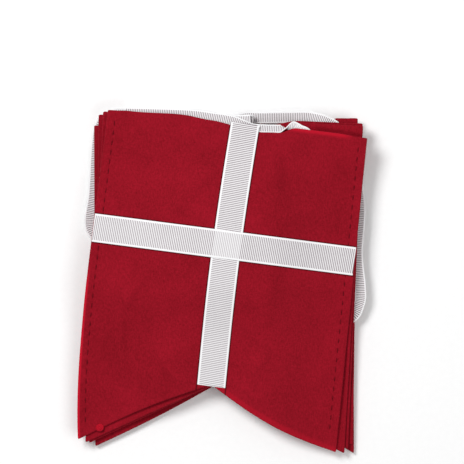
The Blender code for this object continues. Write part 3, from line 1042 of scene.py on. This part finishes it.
def level_middle(flag, slab, across, share):
    along = mix(-FLAG_LEFT, flag.ribbon_end, share)
    x, y = flag_place(flag, along, LEVEL_RIBBON_DROP - across * RIBBON / 2)
    climb = 1 - ease(np.abs(along + RIBBON_BOW) / RIBBON * CLIMB_SLOPE - CLIMB_START)
    return np.stack([x, y, felt_height(flag, slab, x, y) + SEWN + CROSSED * climb], axis=-1)


def upright_tint(flag, share):
    return LOWER_WHITENESS * (1 - share)


def level_tint(flag, share):
    along = mix(-FLAG_LEFT, flag.ribbon_end, share) + RIBBON_BOW
    crossing = 1 - ease((np.abs(along) - RIBBON / 2 + CROSSING_INSET) / CROSSING_FADE)
    return np.maximum(CROSSING_WHITENESS * crossing, LEFT_WHITENESS * (1 - share))


# The ribbons' ribs lean the same way, so the level one's weave is mirrored.
Ribbon = namedtuple("Ribbon", "name middle tint hand")
UPRIGHT_RIBBON = Ribbon("upright", upright_middle, upright_tint, 1)
LEVEL_RIBBON = Ribbon("level", level_middle, level_tint, -1)


def make_ribbon(number, flag, ribbon, material):
    ribbed = flag in RIBBED_FLAGS
    rows = int(np.ceil(RIBBON_LENGTH / RIB * RIB_SAMPLES)) + 1
    if not ribbed:
        rows = rows // HIDDEN_RIBBON_SHARE
    across, share = np.meshgrid(STRIP_ACROSS, np.linspace(0, 1, rows))
    middle = ribbon.middle(flag, number - 1, across, share)
    weave = strip_weave(ribbon.hand * across, share * RIBBON_LENGTH, RIBBON, ribbon.tint(flag, share))
    face = ribs(weave) if ribbed else 0.0
    piece = make_sheet(f"flag_{number}_{ribbon.name}_grosgrain", middle, GROSGRAIN, weave, material, face)
    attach(piece, "root")
    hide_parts(f"flag_{number}_{ribbon.name}_ribbon")
    return piece


# The tape.


def curve_value(a, b, c, d, share):
    """A place between b and c on the smooth curve through four values."""
    linear = (c - a) * share
    square = (2 * a - 5 * b + 4 * c - d) * share**2
    cubic = (3 * b - a - 3 * c + d) * share**3
    return 0.5 * (2 * b + linear + square + cubic)


def smooth_path(points, step):
    """A smooth path through the points, about a step apart."""
    padded = [points[0], *points, points[-1]]
    path = []
    for a, b, c, d in zip(padded, padded[1:], padded[2:], padded[3:]):
        count = max(1, int(np.ceil(np.hypot(c.x - b.x, c.y - b.y) / step)))
        share = np.arange(count) / count
        x = curve_value(a.x, b.x, c.x, d.x, share)
        y = curve_value(a.y, b.y, c.y, d.y, share)
        slab, loops = (mix(getattr(b, key), getattr(c, key), ease(share)) for key in ("slab", "loops"))
        path.append(np.stack([x, y, slab, loops], axis=-1))
    return np.concatenate([*path, [list(points[-1])]])


def tape_run(start, end, slab, loops):
    """A run along the tape line."""
    places = np.linspace(start, end, int(np.ceil(abs(end - start) / TAPE_STEP)) + 1)
    return [Point(x, y, slab, loops) for x, y in zip(places, value_at(TAPE_LINE, places))]


def tape_legs():
    """The tape's stretches between its folds, from the lowest flag's to the top one's."""
    left, right = LEFT_END + RUN_INSET, RIGHT_END - RUN_INSET
    inner_fold = UPPER_FOLD - UPPER_INSET
    left_loop = tape_run(RIGHT_END, LEFT_LOOP_START, 0.5, 0) + list(LEFT_LOOP)
    right_loop = tape_run(left, RIGHT_LOOP_START, 2, 1) + list(RIGHT_LOOP)
    return (
        tape_run(LEFT_END, RIGHT_END, 0, 0),
        left_loop + tape_run(LEFT_LOOP_END, right, 1, 1),
        tape_run(right, left, 1.5, 1),
        right_loop + tape_run(RIGHT_LOOP_END, UPPER_FOLD, 3, 2),
        tape_run(UPPER_FOLD, left, 3.5, 2),
        tape_run(left, inner_fold, 4, 2),
        tape_run(inner_fold, left, 4.5, 2),
        tape_run(left, TOP_STRIP_START, 5, 2.1) + list(TOP_STRIP),
    )


def leg_middle(path, side, turned):
    """The leg's places, its directions, and how far it has turned over (0 to 1)."""
    x, y, slab, loops = path.T
    along = np.gradient(path[:, :2], axis=0)
    along /= np.linalg.norm(along, axis=1, keepdims=True)
    seen = np.ones_like(x)
    if turned:
        seen = np.minimum.accumulate(np.interp(x, *zip(*HALF_TURN)))
    turn = 1 - ease(seen + 1)
    across = np.stack([-along[:, 1], along[:, 0]], axis=-1) * side * TAPE / 2
    reach = TAPE_ACROSS[None, :, None] * seen[:, None, None]
    places = path[:, None, :2] + reach * across[:, None, :]
    z = pile_height(places[..., 0], places[..., 1], slab[:, None], loops[:, None])
    rise = np.sqrt(1 - seen**2)[:, None]
    z = z - side * TAPE_ACROSS * TAPE / 2 * TURN_HEIGHT * rise + TURN_LIFT * rise
    return np.concatenate([places, z[..., None]], axis=-1), along, turn


def fold_middle(last, first, outward):
    """A half round from one leg's last row to the next one's first."""
    angle = (PI * np.arange(1, FOLD_STEPS) / FOLD_STEPS)[:, None, None]
    centre = (last + first) / 2
    reach = np.linalg.norm(first - last, axis=1, keepdims=True) / 2
    return centre + reach * np.append(outward, 0) * np.sin(angle) + (last - centre) * np.cos(angle)


def tape_middle():
    """The tape's places, and for each row how far it has turned over and whether it has fine ribs."""
    parts, turns, ribbed, outward = [], [], [], None
    for number, points in enumerate(tape_legs()):
        fine = number in RIBBED_LEGS
        side = -1 if number % 2 else 1
        path = smooth_path(points, FINE_STEP if fine else COARSE_STEP)
        middle, along, turn = leg_middle(path, side, turned=number == RIBBED_LEGS[-1])
        if parts:
            parts.append(fold_middle(parts[-1][-1], middle[0], outward))
            turns.append(np.zeros(len(parts[-1])))
            ribbed.append(np.zeros(len(parts[-1])))
        parts.append(middle)
        turns.append(turn)
        ribbed.append(np.full(len(middle), float(fine)))
        outward = along[-1]
    return np.concatenate(parts), np.concatenate(turns), np.concatenate(ribbed)


def make_tape(material):
    """The tape and its length. The part that has turned over is tinted, so it is smooth."""
    middle, turns, ribbed = tape_middle()
    along = distances_along(middle[:, len(TAPE_ACROSS) // 2])
    across, distance = np.meshgrid(TAPE_ACROSS, along)
    weave = strip_weave(across, distance, TAPE, turns[:, None])
    face = ribs(weave) * ribbed[:, None]
    piece = make_strip("heading_tape_grosgrain", middle, GROSGRAIN, weave, material, face)
    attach(piece, "root")
    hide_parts("heading_tape")
    return piece, along[-1]


# The stage.


def make_floor():
    corners = np.array([(-1, -1, 0), (1, -1, 0), (1, 1, 0), (-1, 1, 0)])
    points = corners * FLOOR_REACH - UP * FLOOR_DROP
    paper = pale_floor("floor", FLOOR_DARK, FLOOR_LIGHT)
    floor = new_object("floor", points, np.array([[0, 1, 2, 3]]), paper)


def make_lamp(lamp):
    """A round area light that points at the origin."""
    light = bpy.data.lights.new(lamp.name, "AREA")
    light.shape = "DISK"
    light.size = lamp.size
    light.energy = lamp.power
    holder = bpy.data.objects.new(lamp.name, light)
    holder.location = lamp.place
    holder.rotation_euler = (-Vector(lamp.place)).to_track_quat("-Z", "Y").to_euler()
    bpy.context.scene.collection.objects.link(holder)


def make_world(scene):
    world = bpy.data.worlds.new("studio")
    world.use_nodes = True
    background = world.node_tree.nodes["Background"]
    background.inputs["Color"].default_value = (1, 1, 1, 1)
    background.inputs["Strength"].default_value = WORLD_LIGHT
    scene.world = world


def make_camera(scene):
    camera = bpy.data.cameras.new("camera")
    camera.sensor_width = SENSOR
    camera.lens = SENSOR * CAMERA_HEIGHT / (PIXEL * PHOTO)
    camera.clip_end = VIEW_END
    eye = bpy.data.objects.new("camera", camera)
    eye.location = (*VIEW_CENTRE, CAMERA_HEIGHT + FOCUS_HEIGHT)
    scene.collection.objects.link(eye)
    scene.camera = eye


def make_stage():
    scene = bpy.context.scene
    make_floor()
    for lamp in LAMPS:
        make_lamp(lamp)
    make_world(scene)
    make_camera(scene)
    scene.view_settings.view_transform = "Standard"


def main():
    felt = red_felt("red_felt", FELT_DARK, FELT_LIGHT, FELT_EDGE)
    ribbon = grosgrain("white_ribbon", RIBBON_VALLEY_SHADE, RIBBON_CROWN, RIBBON_SELVEDGE)
    red_thread = thread("red_thread", THREAD_DARK, THREAD_LIGHT)
    for number, flag in enumerate(FLAGS, start=1):
        cloth = make_cloth(number, flag, felt)
        upright = make_ribbon(number, flag, UPRIGHT_RIBBON, ribbon)
        level = make_ribbon(number, flag, LEVEL_RIBBON, ribbon)
        if flag in STITCHED_FLAGS:
            make_stitches(f"flag_{number}_hem_stitches", stitch_places(flag, number - 1), red_thread)
    make_hem_roll("flag_6_hem_roll", TOP_FLAG, len(FLAGS) - 1, felt)
    tape, length = make_tape(ribbon)
    length = float(length) * MM
    make_stage()


main()
